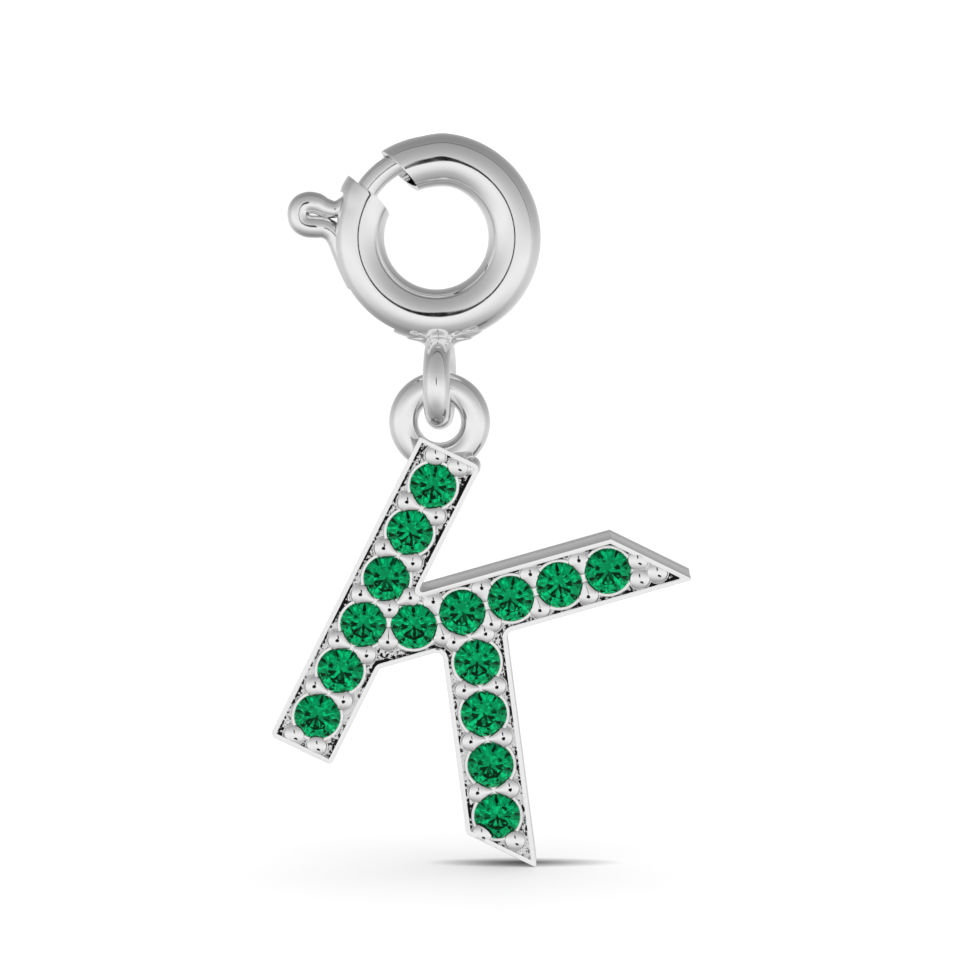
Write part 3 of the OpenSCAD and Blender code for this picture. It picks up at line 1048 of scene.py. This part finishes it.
class PENDANT_OT_stage(bpy.types.Operator):
    """Sets the white floor, the tent's light and the camera"""

    bl_idname = "pendant.stage"
    bl_label = "Stage"

    def execute(self, context):
        scene = context.scene
        low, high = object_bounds()
        choose()
        bpy.ops.mesh.primitive_plane_add(size=4.0, location=(0, 0, low[2]))
        floor = named("floor")
        paper = bpy.data.materials.new("white_paper_sweep")
        paper.use_nodes = True
        tree = paper.node_tree
        shader = tree.nodes["Principled BSDF"]
        shader.inputs["Roughness"].default_value = 0.6
        shader.inputs["Specular IOR Level"].default_value = 0.1
        # The retouched shadow under the leg's tip
        place = add_node(tree, "ShaderNodeTexCoord").outputs["Object"]
        oval = {"Location": (2.55 * MM, 1.3 * MM, 0), "Scale": (2.9 * MM, 1.05 * MM, 1)}
        narrow = add_node(tree, "ShaderNodeMapping", oval, {"Vector": place}, vector_type="TEXTURE")
        reach = add_node(
            tree, "ShaderNodeVectorMath", links={0: narrow.outputs["Vector"]}, operation="LENGTH"
        ).outputs["Value"]
        grey = blended(tree, ranged(tree, reach, 0.0, 1.0, 1.0, 0.0), "#F4F4F4", "#5A5A5A")
        tree.links.new(grey, shader.inputs["Base Color"])
        floor.data.materials.append(paper)
        floor.visible_glossy = floor.visible_transmission = False
        floor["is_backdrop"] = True

        world = bpy.data.worlds.new("light_tent")
        scene.world = world
        world.use_nodes = True
        tree = world.node_tree
        tree.nodes.clear()
        way = add_node(tree, "ShaderNodeTexCoord").outputs["Generated"]

        def along(aim):
            """How far a direction points along an aim, from -1 to 1."""
            return add_node(
                tree, "ShaderNodeVectorMath", {1: Vector(aim).normalized()}, {0: way}, operation="DOT_PRODUCT"
            ).outputs["Value"]

        def smooth(value, *ends):
            return ranged(tree, value, *ends, kind="SMOOTHSTEP")

        def times(a, b):
            return maths(tree, "MULTIPLY", a, b)

        def spot(azimuth, elevation, inner, outer):
            """A dark opening in the tent, between two angles from its middle."""
            a, e = math.radians(azimuth), math.radians(elevation)
            near = along((math.sin(a) * math.cos(e), -math.cos(a) * math.cos(e), math.sin(e)))
            return smooth(near, math.cos(math.radians(outer)), math.cos(math.radians(inner)), 1.0, 0.02)

        def slot(across, height, half_width, half_height):
            """The dark upright slot in the tent's front through which the lens looks in."""
            squares = []
            for aim, at, half in (((1, 0, 0.12), across, half_width), ((0, 0, 1), height, half_height)):
                share = maths(tree, "DIVIDE", maths(tree, "SUBTRACT", along(aim), at), half)
                squares.append(times(share, share))
            behind = smooth(along((0, 1, 0)), -0.3, -0.1, 0.0, 9.0)
            total = maths(tree, "ADD", maths(tree, "ADD", *squares), behind)
            return smooth(total, 0.6, 1.3, 0.01, 1.0)

        # Cloth walls, brightest in front and a little below, grey overhead and underfoot
        height = ranged(tree, along((0.06, 0, 1)), -1, 1, 0, 1)
        ramp = add_node(tree, "ShaderNodeValToRGB", links={"Fac": height})
        stops = (
            (0.0, 0.36), (0.1, 0.52), (0.2, 0.76), (0.3, 0.9), (0.4, 0.94), (0.5, 0.83),
            (0.6, 0.66), (0.7, 0.54), (0.8, 0.46), (1.0, 0.36),
        )
        while len(ramp.color_ramp.elements) < len(stops):
            ramp.color_ramp.elements.new(0.5)
        for element, (at, grey) in zip(ramp.color_ramp.elements, stops):
            element.position = at
            element.color = (grey, grey, grey, 1)
        # The side walls are greyer than the front, and the wall behind the pendant a little
        beside = smooth(along((0, 1, 0)), -0.35, 0.1, 1.0, 0.74)
        tent = times(times(ramp.outputs["Color"], beside), smooth(along((0, 1, 0)), 0.5, 0.95, 1.0, 1.12))
        # The seam where the tent's front meets its roof
        apart = maths(tree, "ABSOLUTE", maths(tree, "SUBTRACT", along((0, -1, 0)), 0.17))
        upper = smooth(along((0.45, 0, 0.9)), 0.35, 0.7, 0.0, 1.0)
        tent = times(tent, maths(tree, "SUBTRACT", 1.0, times(smooth(apart, 0.025, 0.05, 0.55, 0.0), upper)))
        metal = times(tent, slot(0.011, 0.082, 0.056, 0.2))
        # What the stones gather is broken up by the camera's shadow and the tent's ribs
        cells = {"Scale": 3.2, "Randomness": 1.0}
        ribs = add_node(tree, "ShaderNodeTexVoronoi", cells, {"Vector": way}, feature="F1").outputs["Distance"]
        gem = times(times(tent, smooth(ribs, 0.25, 0.55, 1.45, 0.62)), spot(0, 4, 5, 11))
        path = add_node(tree, "ShaderNodeLightPath")
        sharp = maths(tree, "MAXIMUM", path.outputs["Is Glossy Ray"], path.outputs["Is Transmission Ray"])
        plain = add_node(tree, "ShaderNodeBackground", {"Color": (1, 1, 1, 1), "Strength": 1.25})
        on_metal = add_node(tree, "ShaderNodeBackground", {"Color": (1, 1, 1, 1)}, {"Strength": metal})
        in_stone = add_node(tree, "ShaderNodeBackground", {"Color": (1, 1, 1, 1)}, {"Strength": gem})
        seen = add_node(
            tree,
            "ShaderNodeMixShader",
            links={0: path.outputs["Is Transmission Ray"], 1: on_metal.outputs[0], 2: in_stone.outputs[0]},
        )
        mix = add_node(tree, "ShaderNodeMixShader", links={0: sharp, 1: plain.outputs[0], 2: seen.outputs[0]})
        add_node(tree, "ShaderNodeOutputWorld", links={"Surface": mix.outputs[0]})

        scene.view_settings.view_transform = "Standard"
        scene.view_settings.look = "None"

        # A long lens, four degrees above the clasp, takes in 27.69 mm at the pendant
        lens, sensor, width, tilt = 200, 36, 27.69 * MM, math.radians(4)
        distance = width * lens / sensor
        back = Vector((0, -math.cos(tilt), math.sin(tilt)))
        aim = Vector((1.255 * MM, 0, -8.477 * MM / math.cos(tilt)))
        bpy.ops.object.camera_add(location=aim + back * distance, rotation=(math.radians(90) - tilt, 0, 0))
        camera = context.object
        camera.data.lens = lens
        camera.data.sensor_width = sensor
        camera.data.clip_start = 0.01
        camera.data.clip_end = 20
        scene.camera = camera
        return {"FINISHED"}


STEPS = (
    PENDANT_OT_clasp_tube,
    PENDANT_OT_clasp_eye,
    PENDANT_OT_bolt,
    PENDANT_OT_letter,
    PENDANT_OT_beads,
    PENDANT_OT_bail,
    PENDANT_OT_stones,
    PENDANT_OT_stage,
)
GROUPS = {
    "clasp_sizes": ClaspSizes,
    "letter_sizes": LetterSizes,
    "stone_sizes": StoneSizes,
    "pendant_finishes": Finishes,
}


class PENDANT_PT_panel(bpy.types.Panel):
    """Sizes, finishes and steps of the pendant"""

    bl_idname = "PENDANT_PT_panel"
    bl_label = "Initial pendant"
    bl_space_type = "VIEW_3D"
    bl_region_type = "UI"
    bl_category = "Pendant"

    def draw(self, context):
        for name in GROUPS:
            group = getattr(context.scene, name)
            box = self.layout.box()
            for size in group.__annotations__:
                box.prop(group, size)
        for step in STEPS:
            self.layout.operator(step.bl_idname)


def register():
    for name, group in GROUPS.items():
        bpy.utils.register_class(group)
        setattr(bpy.types.Scene, name, bpy.props.PointerProperty(type=group))
    for item in STEPS + (PENDANT_PT_panel,):
        bpy.utils.register_class(item)


def unregister():
    for item in reversed(STEPS + (PENDANT_PT_panel,)):
        bpy.utils.unregister_class(item)
    for name, group in GROUPS.items():
        delattr(bpy.types.Scene, name)
        bpy.utils.unregister_class(group)


def main():
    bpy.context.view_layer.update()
    register()
    for step in STEPS:
        area, name = step.bl_idname.split(".")
        getattr(getattr(bpy.ops, area), name)()


if __name__ == "__main__":
    main()
